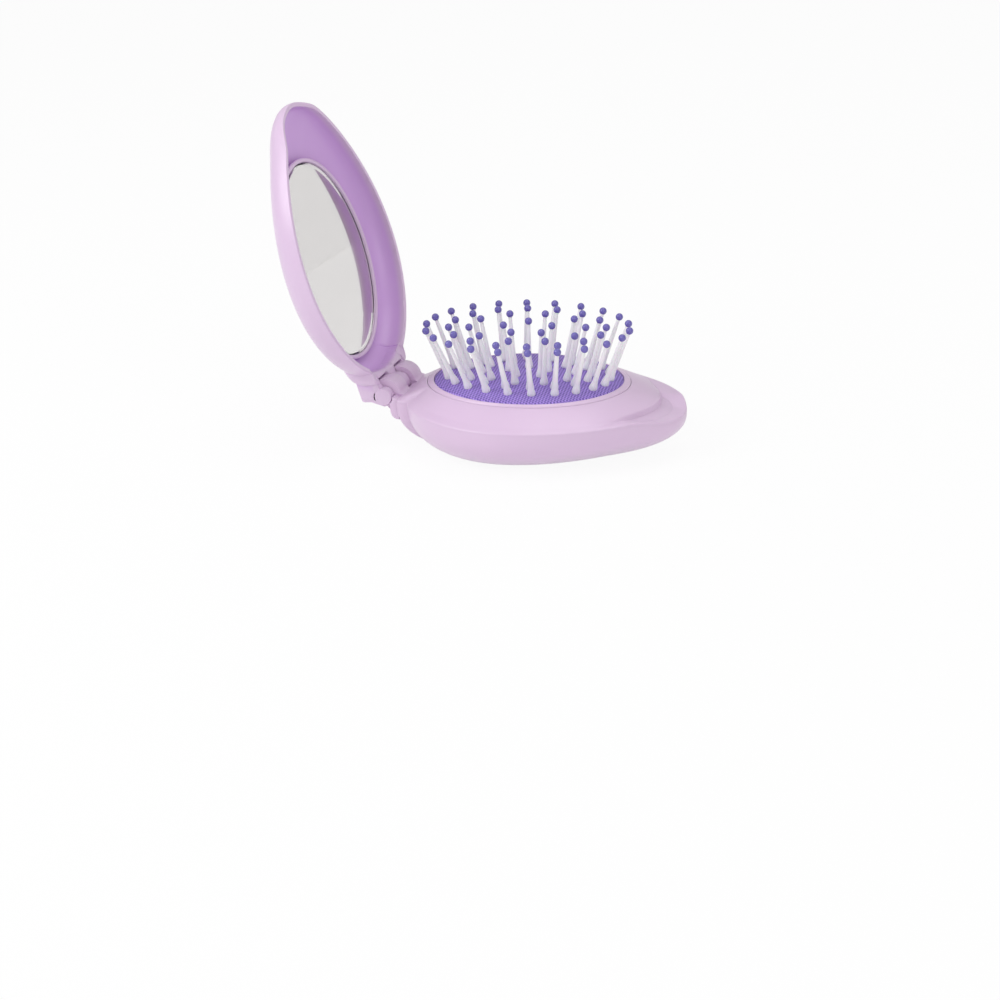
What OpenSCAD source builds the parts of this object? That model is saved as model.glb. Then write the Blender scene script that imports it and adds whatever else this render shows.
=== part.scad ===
// Folding pocket hairbrush: a deep oval case whose lid carries a mirror. The bristle pad sits on a
// carrier plate that rises out of the case as the lid opens and sinks into it as the lid closes.
// Every piece is drawn from the hinge axis, in "case" coordinates: X runs from the hinge to the tip,
// Y is along the hinge pin and Z is up from the parting plane. place_case() then sets the foot on Z = 0.
// All lengths are millimetres and all angles degrees.

/* [Case] */
// Length from the hinge axis to the tip
case_len = 92; // [86:1:104]
// Overall width at the widest place
case_w = 70; // [66:1:80]
// Wall thickness of both shells
wall = 1.4; // [1.0:0.1:1.6]
// Depth of the lower shell below the parting plane
base_depth = 15.4; // [15.2:0.1:19]
// Depth of the lid above the parting plane
lid_depth = 12.8; // [12.6:0.1:16]
// Gap that separates the closed rims
rim_gap = 0.3; // [0.1:0.05:0.6]
// How far both rims draw back from each other at the finger notch
notch_depth = 1.8; // [0:0.1:2.6]
// Width of the flat finger ledge at the tip
ledge_w = 7; // [3:0.5:9]

/* [Hinge] */
// Radius of the knuckles
knuckle_r = 3.1; // [2.8:0.1:3.6]
// Radius of the steel pin
pin_r = 0.9; // [0.7:0.05:1.1]
// Radial running clearance of the lid's knuckles on the pin
pin_clear = 0.05; // [0.02:0.01:0.1]
// Half width of the lid's middle knuckle
mid_half = 2.9; // [2.4:0.1:3.4]
// Width of each finger on the case
finger_w = 6.6; // [5:0.1:7]
// Width of each outer ear on the lid
ear_w = 3; // [2.4:0.1:3.6]
// Side gap between neighbouring knuckles
knuckle_gap = 0.25; // [0.15:0.05:0.4]
// Height of the lid's neck over the hinge axis
neck_h = 7.1; // [6.6:0.1:8.6]
// Lid angle from closed; the stop is met at 107
open_angle = 107; // [0:1:107]

/* [Bristle pad] */
// Half length of the oval pad
pad_a = 29.3; // [28:0.1:30]
// Half width of the oval pad
pad_b = 24; // [22:0.1:24.5]
// Distance from the hinge axis to the pad's middle
pad_x = 43; // [42:0.1:45]
// Height of the pad's edge over the parting plane when raised
pad_lift = 5; // [4:0.1:5.4]
// How far the middle of the pad swells above its edge
pad_crown = 1.8; // [0.6:0.1:2.2]
// Thickness of the pad at its edge
pad_edge = 1.4; // [1:0.1:1.6]
// Thickness of the carrier plate under the pad
plate_t = 1; // [0.8:0.1:1.4]
// Room left under the pad's carrier when the lid is closed
floor_room = 0.5; // [0.4:0.1:1.2]
// Gap between the pad's ring and the sleeve it slides in
slide_gap = 0.25; // [0.2:0.05:0.35]
// How far the pad's ring stands past the cushion, along the brush
ring_long = 2.2; // [1.8:0.1:2.4]
// How far the pad's ring stands past the cushion, across the brush
ring_wide = 1.2; // [1:0.1:1.6]

/* [Bristles] */
// Number of bristles in each ring, from the outer ring inwards
ring_counts = [22, 16, 10, 5];
// Room left between the ball tips and the mirror's lip when the lid is closed
tip_room = 0.25; // [0.2:0.05:0.6]
// Radius of the ball tips
ball_r = 1.15; // [0.9:0.05:1.2]
// Radius of a bristle just under its ball
shank_tip_r = 0.55; // [0.45:0.05:0.7]
// Radius of a bristle above its collar
shank_r = 0.8; // [0.7:0.05:0.95]
// Radius of the collar that stands on the pad
collar_r = 1.3; // [1.1:0.05:1.5]
// Height of the collar
collar_h = 2.6; // [1.8:0.1:3.4]
// Radius of the root that is pressed through pad and plate
root_r = 0.7; // [0.6:0.05:0.75]

/* [Mirror] */
// Distance from the side of the lid to the edge of the glass
mirror_side = 7.8; // [7.6:0.1:10]
// Distance from the hinge axis to the edge of the glass
mirror_heel = 12.9; // [12.5:0.1:15]
// Distance from the tip of the lid to the edge of the glass
mirror_tip = 18.3; // [17:0.1:22]
// Thickness of the foam that bonds the glass to the lid
foam_t = 2.8; // [2:0.1:3]
// Thickness of the glass
glass_t = 1.1; // [0.8:0.1:1.2]
// Thickness of the silver and its backing lacquer
coating_t = 0.1; // [0.06:0.02:0.2]
// Width of the raised lip round the glass
lip_w = 1.3; // [0.8:0.1:1.4]
// How far the lip stands proud of the glass face
lip_h = 0.5; // [0.2:0.1:0.5]
// Gap between the glass edge and the lip
glass_gap = 0.15; // [0.05:0.05:0.3]

/* [Lift spring] */
// Radius of the spring wire
wire_r = 0.35; // [0.25:0.05:0.4]
// Radius of the widest turn, on the case floor
spring_low_r = 11; // [9:0.5:12]
// Radius of the narrowest turn, under the plate
spring_top_r = 5; // [4:0.5:7]
// Number of turns
spring_turns = 4.5; // [3:0.5:6]

/* [Hidden] */
eps = 0.01;
steps = 64;                      // points round every oval
round_fn = 48;                   // facets of the small rounds
open_stop = 107;                 // lid angle at which the heel meets the case
skew = 0.17;                     // how much wider the egg is towards the hinge
fill = -0.065;                   // how much fuller the egg is than an ellipse
egg_x0 = 4.8;                    // where the egg meets the axis line near the hinge
half_w = case_w / 2 / (1 - fill);
neck_t = 22.5;                   // egg parameter at which the neck takes over
neck_power = 6;                  // the higher, the squarer the shoulders at the hinge
end_gap = 0.5;                   // room between the knuckles and the end wall
end_x = knuckle_r + end_gap;     // end wall of both halves
heel_gap = 0.05;                 // room left at the lid's stop
lobe_r = 4.75;                   // the fingers swell to this radius over the deck
pocket_r = lobe_r + 0.45;        // pockets of the lid's neck, over the case's fingers
lobe_end = [5.3, 0.5];           // the lobe runs down to the deck here
lobe_low = 0.25;                 // its underside stays clear of the deck's rim
pocket_end = lobe_end + [0.35, 0.25];
step_in = 0.15;                  // small set-backs that part neighbouring faces
notch_from = case_len - 26;      // the finger notch begins here
notch_to = case_len - 3;         // and is at full depth from here on
base_belly = 32;                 // the rings of the lower shell shrink towards this place
lid_belly = 30;                  // and those of the lid towards this one
base_power = 2.4;                // superellipse power of the lower shell's section
lid_power = 3;                   // superellipse power of the lid's section
base_last = 56;                  // section angle at which the flat foot begins
lid_last = 75;                   // section angle at which the flat back begins
seam = 1.2;                      // the deck's side wall reaches this far below the parting plane
foot_x = 40;                     // distance from the hinge axis to the part's origin
deck_t = 1.3;                    // thickness of the deck
sleeve_t = 1;                    // thickness of the sleeve round the pad
sleeve_low = -10.6;              // lower end of the sleeve
plate_in = 3.3;                  // the carrier plate stays this far inside the pad's edge
plate_a = pad_a - plate_in;      // carrier plate, half length
plate_b = pad_b - plate_in;      // carrier plate, half width
plate_top = pad_lift - pad_edge;
plate_low = plate_top - plate_t;
floor_z = -base_depth + wall;
boss_h = 0.5;                    // spring boss under the plate
pad_travel = plate_low - boss_h - floor_room - floor_z;   // the pad sinks as far as the case allows
lift_now = -pad_travel * (1 - open_angle / open_stop);
mirror_a = (case_len - mirror_tip - mirror_heel) / 2;     // half axes and middle of the glass
mirror_b = case_w / 2 - mirror_side;
mirror_x = mirror_heel + mirror_a;
frame_back = lid_depth - wall - foam_t;                   // back of the glass, its coating and its frame
mirror_recess = frame_back - glass_t - coating_t;         // glass face, measured from the parting plane
tip_height = mirror_recess - lip_h - tip_room - ball_r + pad_travel;   // balls just clear the lip
rib_h = 0.5;                     // spring rib on the floor
rib_t = 0.8;
collar_lift = 0.6;               // the leaning collar's underside clears the domed pad
base_ring = [pad_a - 4.1, pad_b - 6.2];     // half axes of the outer ring at the pad
tip_ring = [pad_a + 2.2, pad_b + 1.3];      // half axes of the outer ring at the balls
ring_share = [1, 0.77, 0.57, 0.25];         // size of each ring against the outer one
ring_turn = [6, 13.6, 13.5, 29];            // start angle of each ring
mid_out = mid_half;                          // knuckle edges along the pin, from the middle outwards
finger_in = mid_out + knuckle_gap;
finger_out = finger_in + finger_w;
ear_in = finger_out + knuckle_gap;
ear_out = ear_in + ear_w;
cover_t = 0.6;                   // wall that closes the near ear over the pin

// ---- small functions -------------------------------------------------------------------------
function clamp01(v) = min(1, max(0, v));
function smooth(v) = let (c = clamp01(v)) c * c * (3 - 2 * c);
function mix(a, b, u) = a * (1 - u) + b * u;
// Egg outline at parameter t, drawn in by d: an ellipse whose width is skewed towards the hinge.
function egg(t, d = 0) = [
    mix(egg_x0 + d, case_len - d, (1 - cos(t)) / 2),
    (half_w - d) * sin(t) * (1 + skew * cos(t) + fill * cos(2 * t))];
// The square-shouldered neck replaces the egg where it would run to a point at the hinge.
function neck(t, d = 0) = let (e = egg(neck_t, d), q = 90 * abs(t) / neck_t) [
    e[0] - (e[0] - end_x - d) * pow(cos(q), 2 / neck_power),
    sign(t) * e[1] * pow(sin(q), 2 / neck_power)];
function outline_point(t, d = 0) = abs(t) < neck_t ? neck(t, d) : egg(t, d);
function outline(d = 0) = [for (i = [0 : steps - 1]) outline_point(-180 + 360 * i / steps, d)];
rim_line = outline();
function oval(a, b, x) = [for (i = [0 : steps - 1]) let (t = -180 + 360 * i / steps)
    [x - a * cos(t), b * sin(t)]];
function blend(r1, r2, u) = [for (i = [0 : steps - 1]) mix(r1[i], r2[i], u)];
function flat(ring, z) = [for (p = ring) [p[0], p[1], z]];
// Height lost at the finger notch, at distance x from the hinge.
function notch(x) = notch_depth * smooth((x - notch_from) / (notch_to - notch_from));
// Points that belong to the plateau of the deck: the outline, drawn back from the tip by the ledge.
function plateau(ring) = [for (p = ring)
    [p[0] - ledge_w * smooth((p[0] - notch_from) / (case_len - notch_from)), p[1]]];

// Closed solid through a list of rings of equal length, with flat ends.
module loft(rings) {
    n = len(rings[0]);
    m = len(rings);
    walls = [for (j = [0 : m - 2]) for (i = [0 : n - 1]) let (k = (i + 1) % n)
        each [[j * n + i, (j + 1) * n + k, (j + 1) * n + i],
              [j * n + i, j * n + k, (j + 1) * n + k]]];
    first = [[for (i = [n - 1 : -1 : 0]) i]];
    last = [[for (i = [0 : n - 1]) (m - 1) * n + i]];
    polyhedron(points = [for (r = rings) each r], faces = concat(walls, first, last));
}

// One side of a bowl: rings from the rim down to its flat floor. The section is a superellipse, and
// the rim follows the finger notch.
function bowl_rings(d, rim, depth, power, last, belly, count) = [for (j = [0 : count])
    let (a = last * j / count,
         k = pow(cos(a), 2 / power),
         s = pow(sin(a), 2 / power) / pow(sin(last), 2 / power))
    [for (i = [0 : steps - 1]) let (p = outline(d)[i], top = -rim - notch(rim_line[i][0]))
        [belly + (p[0] - belly) * k, p[1] * k, mix(top, -depth, s)]]];
function reversed(list) = [for (i = [len(list) - 1 : -1 : 0]) list[i]];

module bowl(rim, depth, power, last, belly, count) {
    outer = bowl_rings(0, rim, depth, power, last, belly, count);
    inner = bowl_rings(wall, rim, depth - wall, power, last, belly, count);
    loft(concat(reversed(outer), inner));
}

module place_case() translate([-foot_x, 0, base_depth]) children();
module place_pad() place_case() translate([0, 0, lift_now]) children();
module place_lid() place_case() rotate([0, -open_angle, 0]) children();
// A round bar along the hinge axis from y0 to y1
module axle(r, y0, y1) translate([0, y1, 0]) rotate([90, 0, 0]) cylinder(r = r, h = y1 - y0, $fn = round_fn);
// A profile in X and Z carried along the hinge axis from y0 to y1
module slab(points, y0, y1) translate([0, y1, 0]) rotate([90, 0, 0]) linear_extrude(y1 - y0) polygon(points);
module both_sides() { children(); mirror([0, 1, 0]) children(); }

// ---- lower case ------------------------------------------------------------------------------
finger_root = [[1.6, -0.2], [end_x - 0.1, -0.2], [end_x - 0.1, -seam - 0.05],
               [end_x + wall - 0.3, -seam - 0.4], [end_x + wall, -7], [end_x + 0.9, -6.6], [1.2, -2.6]];

function arc(r, from, to, n) = [for (i = [0 : n]) let (a = mix(from, to, i / n)) [r * cos(a), r * sin(a)]];
finger_lobe = concat([[0, 1.5]], arc(lobe_r, 100, 15, 10),
                     [lobe_end, [lobe_end[0], lobe_low], [end_x - 0.3, lobe_low], [end_x - 0.3, -0.6]]);

module base_shell() color("#dcc4e2") place_case() {
    difference() {
        union() {
            bowl(seam, base_depth, base_power, base_last, base_belly, 8);
            both_sides() {
                axle(knuckle_r, finger_in, finger_out);
                slab(finger_root, finger_in, finger_out);
                slab(finger_lobe, finger_in, finger_out);
            }
            translate([pad_x, 0, floor_z - eps]) difference() {
                cylinder(r = spring_low_r + wire_r + 0.3 + rib_t, h = rib_h, $fn = round_fn);
                translate([0, 0, -1]) cylinder(r = spring_low_r + wire_r + 0.3, h = rib_h + 2, $fn = round_fn);
            }
        }
        axle(pin_r, -ear_out, ear_out);
    }
}

edge_in = 2.6;                   // the deck's dome begins this far inside the outline
edge_z = 0.55;                   // and this high over the parting plane
ring_a = pad_a + ring_long;      // half axes of the pad's ring
ring_b = pad_b + ring_wide;
ring_fall = 0.7;                 // the ring slopes down by this from the cushion to the deck
ring_step = 0.15;                // the raised ring stands this much over the deck
deck_top = pad_lift - ring_fall - ring_step;
deck_edge = plateau(outline(edge_in));
opening = oval(ring_a + slide_gap, ring_b + slide_gap, pad_x);
function deck_z(u) = mix(edge_z, deck_top, 1 - pow(1 - u, 1.1));
// A ring that follows the finger notch, d inside the outline and z over the rim
function rim_ring(d, z) = [for (i = [0 : steps - 1]) let (p = outline(d)[i])
    [p[0], p[1], z - rim_gap / 2 - notch(rim_line[i][0])]];
function ledge_ring(d, z) = [for (i = [0 : steps - 1]) let (p = plateau(outline(d))[i])
    [p[0], p[1], z - rim_gap / 2 - notch(rim_line[i][0])]];
function deck_rings(d, drop) = concat(
    [rim_ring(0.45 + d, -drop)],
    [ledge_ring(1.6 + d, 0.12 - drop)],
    [flat(plateau(outline(edge_in + d)), edge_z - drop)],
    [for (u = [0.2, 0.4, 0.6, 0.8, 0.95])
        flat(blend(plateau(outline(edge_in + d)), opening, u), deck_z(u) - drop)]);

module deck() color("#e2cbe6") place_case() {
    difference() {
        union() {
            loft(concat(
                [flat(blend(deck_edge, opening, 0.99), deck_top - deck_t)],
                reversed(deck_rings(wall, deck_t)),
                [rim_ring(wall, rim_gap / 2 - seam)],
                [rim_ring(0, rim_gap / 2 - seam)],
                [rim_ring(0, -0.45)],
                [rim_ring(0.13, -0.13)],
                deck_rings(0, 0),
                [flat(blend(deck_edge, opening, 0.99), deck_top)]));
            translate([0, 0, sleeve_low]) linear_extrude(deck_top - deck_t / 2 - sleeve_low)
                polygon(oval(ring_a + slide_gap + sleeve_t, ring_b + slide_gap + sleeve_t, pad_x));
        }
        translate([0, 0, sleeve_low - 1]) linear_extrude(30) polygon(opening);
    }
}

module hinge_pin() color("#c8c8cc") place_case()
    axle(pin_r, -ear_out + cover_t, ear_out);

// Conical coil: radius and height both run evenly with the turns.
function coil_ring(i, n) = let (u = i / n, a = 360 * spring_turns * u,
        r = mix(spring_low_r, spring_top_r, u),
        z = mix(floor_z + wire_r, plate_low + lift_now - wire_r, u))
    [for (k = [0 : 5]) let (w = 60 * k)
        [pad_x + (r + wire_r * cos(w)) * cos(a), (r + wire_r * cos(w)) * sin(a), z + wire_r * sin(w)]];
module lift_spring() color("#b9bcc2") place_case()
    loft([for (i = [0 : 72]) coil_ring(i, 72)]);

// ---- bristle pad -----------------------------------------------------------------------------
// Height of the pad's skin at a point: a low dome over the oval.
function pad_z(x, y) = pad_lift + pad_crown * (1 - clamp01(pow(x / pad_a, 2) + pow(y / pad_b, 2)));
function ring_angle(ring, i) = ring_turn[ring] + 360 * i / ring_counts[ring];
function on_ring(axes, ring, i) =
    ring_share[ring] * [axes[0] * cos(ring_angle(ring, i)), axes[1] * sin(ring_angle(ring, i))];
function bristle_foot(ring, i) = let (p = on_ring(base_ring, ring, i)) [p[0], p[1], pad_z(p[0], p[1])];
function bristle_ball(ring, i) = let (p = on_ring(tip_ring, ring, i)) [p[0], p[1], tip_height];

// Puts children at a bristle's foot with +Z along the bristle.
module along_bristle(ring, i) {
    foot = bristle_foot(ring, i);
    run = bristle_ball(ring, i) - foot;
    translate([pad_x + foot[0], foot[1], foot[2]])
        rotate([0, acos(run[2] / norm(run)), atan2(run[1], run[0])]) children();
}
function bristle_len(ring, i) = norm(bristle_ball(ring, i) - bristle_foot(ring, i));

// A straight root stands in the plate, and the collar and shank lean outwards from its top.
module bristle(ring, i) {
    l = bristle_len(ring, i);
    foot = bristle_foot(ring, i);
    translate([pad_x + foot[0], foot[1], plate_low])
        cylinder(r = root_r, h = foot[2] - plate_low + collar_lift + 0.3, $fn = 24);
    along_bristle(ring, i) rotate_extrude($fn = 24) polygon([
        [0, collar_lift], [collar_r, collar_lift], [collar_r * 0.94, collar_h * 0.55],
        [shank_r + 0.12, collar_h], [shank_r, collar_h + 0.5],
        [shank_tip_r, l - ball_r * 0.8], [0, l - ball_r * 0.8]]);
}
module tip(ring, i) along_bristle(ring, i) difference() {
    l = bristle_len(ring, i);
    translate([0, 0, l]) sphere(r = ball_r, $fn = 24);
    cylinder(r = shank_tip_r + 0.02, h = l - ball_r * 0.8, $fn = 24);
}
module bristle_row(ring) color("#f4f1f0") place_pad() {
    for (i = [0 : ring_counts[ring] - 1]) bristle(ring, i);
}
module tip_row(ring) color("#7a6fbb") place_pad() {
    for (i = [0 : ring_counts[ring] - 1]) tip(ring, i);
}
module root_holes(r) {
    for (ring = [0 : 3]) for (i = [0 : ring_counts[ring] - 1])
        translate([pad_x + on_ring(base_ring, ring, i)[0], on_ring(base_ring, ring, i)[1]])
            circle(r = r, $fn = 24);
}

module cushion() color("#9473ce") place_pad() difference() {
    loft(concat(
        [flat(oval(pad_a - 0.4, pad_b - 0.4, pad_x), plate_top)],
        [flat(oval(pad_a, pad_b, pad_x), plate_top + 0.4)],
        [flat(oval(pad_a, pad_b, pad_x), pad_lift - 0.4)],
        [for (k = [0.985, 0.9, 0.75, 0.55, 0.3]) flat(oval(pad_a * k, pad_b * k, pad_x),
            pad_lift + pad_crown * (1 - k * k))]));
    translate([0, 0, plate_low]) linear_extrude(10) root_holes(root_r + 0.05);
}

// A wedge-shaped ring that frames the cushion, level with the deck when the pad is up. Its foot runs
// under the cushion's edge to the plate.
ring_edge = 0.3;                 // thickness of the ring at its outer edge
ring_land = 0.45;                // flat top beside the cushion
ring_foot = 0.9;                 // width of the ring's foot beside the plate
cushion_gap = 0.12;              // room round the cushion's edge and round the plate
module pad_ring() color("#e2cbe6") place_pad() difference() {
    loft([
        flat(oval(plate_a + ring_foot, plate_b + ring_foot, pad_x), plate_low),
        flat(oval(ring_a, ring_b, pad_x), pad_lift - ring_fall - ring_edge),
        flat(oval(ring_a, ring_b, pad_x), pad_lift - ring_fall),
        flat(oval(pad_a + cushion_gap + ring_land, pad_b + cushion_gap + ring_land, pad_x), pad_lift - 0.1)]);
    translate([0, 0, plate_low - 1]) linear_extrude(plate_t + pad_edge + 2)
        polygon(oval(plate_a + cushion_gap, plate_b + cushion_gap, pad_x));
    translate([0, 0, plate_top]) linear_extrude(pad_edge + 1)
        polygon(oval(pad_a + cushion_gap, pad_b + cushion_gap, pad_x));
}

module pin_plate() color("#8d6cc0") place_pad() {
    translate([0, 0, plate_low]) linear_extrude(plate_t) difference() {
        polygon(oval(plate_a, plate_b, pad_x));
        root_holes(root_r);
    }
    translate([pad_x, 0, plate_low - boss_h])
        cylinder(r = spring_top_r - wire_r - 0.25, h = boss_h, $fn = round_fn);
}

// ---- lid, drawn closed over the case and then swung open -----------------------------------------
neck_profile = [[-0.1, neck_h], [end_x + 5, neck_h], [end_x + 4.8, 4], [end_x + 4.3, 2.3],
                [end_x + 3.5, 1.55], [end_x + 2.6, 0.85], [end_x + 1.8, 0.35],
                [-knuckle_r + 1.2, 0.35], [-1.5, 1.3]];
neck_pocket = concat([[pocket_end[0], -1], pocket_end], arc(pocket_r, 15, 125, 12), [[-3, -1]]);
// The heel is drawn where it stands with the lid at its stop, then turned back into the closed lid.
function to_closed(p) = [p[0] * cos(open_stop) + p[1] * sin(open_stop),
                         p[1] * cos(open_stop) - p[0] * sin(open_stop)];
heel_x = end_x - heel_gap;
heel_open = [[heel_x, -1.5], [heel_x, -3], [1.7, -3.5], [0, -2.2], [1.6, 0]];

module bowl_and_neck() difference() {
    union() {
        mirror([0, 0, 1]) bowl(rim_gap / 2, lid_depth, lid_power, lid_last, lid_belly, 8);
        slab(neck_profile, -ear_out + step_in, ear_out - step_in);
    }
    both_sides() slab(neck_pocket, mid_half + knuckle_gap / 4, ear_in - knuckle_gap / 4);
}
module lid_shell() color("#e0c8e4") place_lid() difference() {
    union() {
        bowl_and_neck();
        both_sides() axle(knuckle_r, ear_in, ear_out);
        axle(knuckle_r, -mid_half, mid_half);
        slab([for (p = heel_open) to_closed(p)], -mid_half + step_in, mid_half - step_in);
    }
    axle(pin_r + pin_clear, -ear_out + cover_t, ear_out + 1);
}

// The frame is a ring round the glass. Its back is chamfered to sit in the curve of the lid.
frame_out = glass_gap + lip_w;
chamfer = 1;
foam_share = 0.85;               // the foam covers this share of the lid's flat back
foam_k = foam_share * pow(cos(lid_last), 2 / lid_power);
foam_ring = [for (p = outline(wall)) [lid_belly + (p[0] - lid_belly) * foam_k, p[1] * foam_k]];
module frame_oval(d, z0, z1) translate([0, 0, z0]) linear_extrude(z1 - z0)
    polygon(oval(mirror_a + d, mirror_b + d, mirror_x));
function frame_ring(d, z) = flat(oval(mirror_a + d, mirror_b + d, mirror_x), z);
module mirror_frame() color("#d3b4da") place_lid() difference() {
    loft([frame_ring(frame_out, mirror_recess - lip_h), frame_ring(frame_out, frame_back - chamfer),
          frame_ring(frame_out - chamfer, frame_back)]);
    frame_oval(glass_gap, mirror_recess - lip_h - 1, frame_back + 1);
}
module mirror_glass() color("#dfe4e4") place_lid() frame_oval(0, mirror_recess, mirror_recess + glass_t);
module mirror_coating() color("#8f9496") place_lid() frame_oval(0, mirror_recess + glass_t, frame_back);
module mirror_foam() color("#f2f2f2") place_lid() translate([0, 0, frame_back])
    linear_extrude(foam_t) polygon(foam_ring);

base_shell();
deck();
hinge_pin();
lift_spring();
pin_plate();
pad_ring();
cushion();
bristle_row(0);  // bristles_outer
bristle_row(1);  // bristles_second
bristle_row(2);  // bristles_third
bristle_row(3);  // bristles_inner
tip_row(0);  // tips_outer
tip_row(1);  // tips_second
tip_row(2);  // tips_third
tip_row(3);  // tips_inner
lid_shell();
mirror_frame();
mirror_glass();
mirror_coating();
mirror_foam();
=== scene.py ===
"""Looks of a folding pocket hairbrush: an egg-shaped case with a mirror in its lid and a pad of
ball-tipped bristles that rises as the lid opens.

Shapes are worked out in millimetres from the hinge axis, with the brush closed: X runs to the tip, Y
along the hinge pin and Z up from the parting plane. case_place() and lid_place() turn them into metres."""
import math

import bpy
import numpy as np
from mathutils import Matrix


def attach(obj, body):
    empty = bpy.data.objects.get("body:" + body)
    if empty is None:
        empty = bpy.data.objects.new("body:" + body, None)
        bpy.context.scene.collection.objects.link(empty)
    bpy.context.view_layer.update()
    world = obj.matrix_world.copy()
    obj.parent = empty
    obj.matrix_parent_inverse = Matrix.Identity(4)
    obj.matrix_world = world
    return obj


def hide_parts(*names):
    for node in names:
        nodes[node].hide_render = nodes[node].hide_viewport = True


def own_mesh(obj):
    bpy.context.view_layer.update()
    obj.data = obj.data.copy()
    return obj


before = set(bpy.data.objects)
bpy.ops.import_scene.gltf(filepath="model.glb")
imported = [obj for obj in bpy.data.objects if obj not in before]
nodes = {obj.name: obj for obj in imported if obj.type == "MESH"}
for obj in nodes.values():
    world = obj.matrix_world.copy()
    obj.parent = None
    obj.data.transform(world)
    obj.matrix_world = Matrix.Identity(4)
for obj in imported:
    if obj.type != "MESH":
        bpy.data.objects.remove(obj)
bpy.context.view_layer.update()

# ---- sizes in millimetres and degrees -----------------------------------------------------------
MM = 0.001
HINGE = np.array([-40.0, 0.0, 15.4])       # hinge axis seen from the part's origin
OPEN_ANGLE = 107.0

# Plan of both halves: an egg from EGG_X0 to the tip, squared off from NECK_T degrees to the hinge
CASE_LEN, CASE_W, WALL = 92.0, 70.0, 1.4
SKEW, FILL, EGG_X0, NECK_T, NECK_POWER = 0.17, -0.065, 4.8, 22.5, 6.0
END_X = 3.6                                # the end wall at the hinge

# Section of both halves: a superellipse that stops at LAST degrees, where the flat begins
BASE_DEPTH, BASE_BELLY, BASE_POWER, BASE_LAST = 15.4, 32.0, 2.4, 56.0
LID_DEPTH, LID_BELLY, LID_POWER, LID_LAST = 12.8, 30.0, 3.0, 75.0
RIM_GAP, SEAM = 0.3, 1.2                   # between the rims, and from the parting plane to the bowl

# Finger notch in both rims, which fades out across the brush, and the ledge of the deck under it
NOTCH_DEPTH, NOTCH_FROM, NOTCH_TO = 2.3, 80.0, 91.0
NOTCH_FAR_Y, NOTCH_FADE = 11.0, 9.0
LEDGE_W, LEDGE_FROM, LEDGE_BLEND = 6.0, 68.0, 12.0

# Deck: its top, the foot of its dome at EDGE_IN from the outline, and the sleeve for the pad
DECK_TOP, DECK_T, EDGE_IN, EDGE_Z = 4.15, 1.3, 2.6, 0.55
SLIDE_GAP, SLEEVE_T, SLEEVE_LOW = 0.12, 1.0, -10.6

# Hinge: radii round the pin, and places along it from the middle outwards
KNUCKLE_R, LOBE_R, POCKET_R, MID_R, DISC_R = 3.1, 4.8, 5.2, 3.4, 2.7
MID_HALF, FINGER_IN, FINGER_OUT, EAR_IN, EAR_OUT = 2.9, 3.15, 9.75, 10.0, 13.0
CHEEK_OUT, DISC_T = EAR_OUT - 0.25, 1.2    # the neck's outer side, and the disc that stands out of it
CORNER_GAP, CHEEK_GAP = 0.3, 0.5           # room round the ear's disc, in the case and in the neck

# Lid at the hinge: where its hollow ends and how that line curves, the land before it, and the neck
ARC_X, ARC_CURVE = 6.5, 0.0145
LAND_Z, LAND_FLAT, LAND_SLOPE, LAND_EASE = 0.35, 2.2, 0.8, 0.024
NECK_H, NECK_OPEN = 7.1, 4.0

# Pad: the cushion's oval, the ring round it, the bristles and the spring under them
PAD_A, PAD_B, PAD_X, PAD_LIFT, PAD_CROWN, PAD_EDGE = 29.3, 24.0, 43.0, 5.0, 1.8, 1.4
RING_A, RING_B, RING_FALL, RING_EDGE, RING_STEP = 31.5, 25.2, 0.7, 0.3, 0.12
SEAT_IN, FOOT_IN = 3.18, 2.4               # bore and foot of the ring, inside the cushion's oval
PLATE_LOW, TIP_HEIGHT, BALL_R = 2.6, 21.1, 1.15
FOOT_RING, TIP_RING = (25.2, 17.8), (31.5, 25.3)
BRISTLE_RINGS = {"outer": (22, 6, 1), "second": (16, 13.6, 0.77),
                 "third": (10, 13.5, 0.57), "inner": (5, 29, 0.25)}  # count, first bearing, share of the size
SPRING_LOW_R, SPRING_TOP_R, SPRING_TURNS, WIRE_R = 11.0, 5.0, 4.5, 0.35

# Mirror: its oval and its layers, from the face inwards
MIRROR_A, MIRROR_B, MIRROR_X, MIRROR_FACE = 30.4, 27.2, 43.3, 7.4
GLASS_T, COATING_T, LIP_H, LIP_W, GLASS_GAP = 1.1, 0.1, 0.5, 1.3, 0.15
MIRROR_BACK = MIRROR_FACE + GLASS_T
POLE_IN = -24.0                            # the innermost ring of a flat face, before its centre point

# ---- the photograph's camera --------------------------------------------------------------------
VIEW_AZIMUTH, VIEW_ELEVATION, VIEW_ROLL = 18.557, 21.151, -2.128
VIEW_DISTANCE, LENS, SENSOR = 790.93, 90.0, 36.0
VIEW_TARGET = np.array([-10.951, 9.669, -24.404])


# ---- placing and meshing ------------------------------------------------------------------------
def case_place(points):
    """Millimetres from the hinge axis, moved to metres from the part's origin."""
    return (np.asarray(points, float) + HINGE) * MM


def swung(x, z, sign=1):
    """Places in the XZ plane turned about the hinge axis by the opening angle, or back by it."""
    c, s = math.cos(math.radians(OPEN_ANGLE)), sign * math.sin(math.radians(OPEN_ANGLE))
    return x * c - z * s, x * s + z * c


def lid_place(points):
    """The closed lid's points turned up by the opening angle, then moved."""
    p = np.asarray(points, float)
    x, z = swung(p[..., 0], p[..., 2])
    return case_place(np.stack([x, p[..., 1], z], -1))


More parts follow.
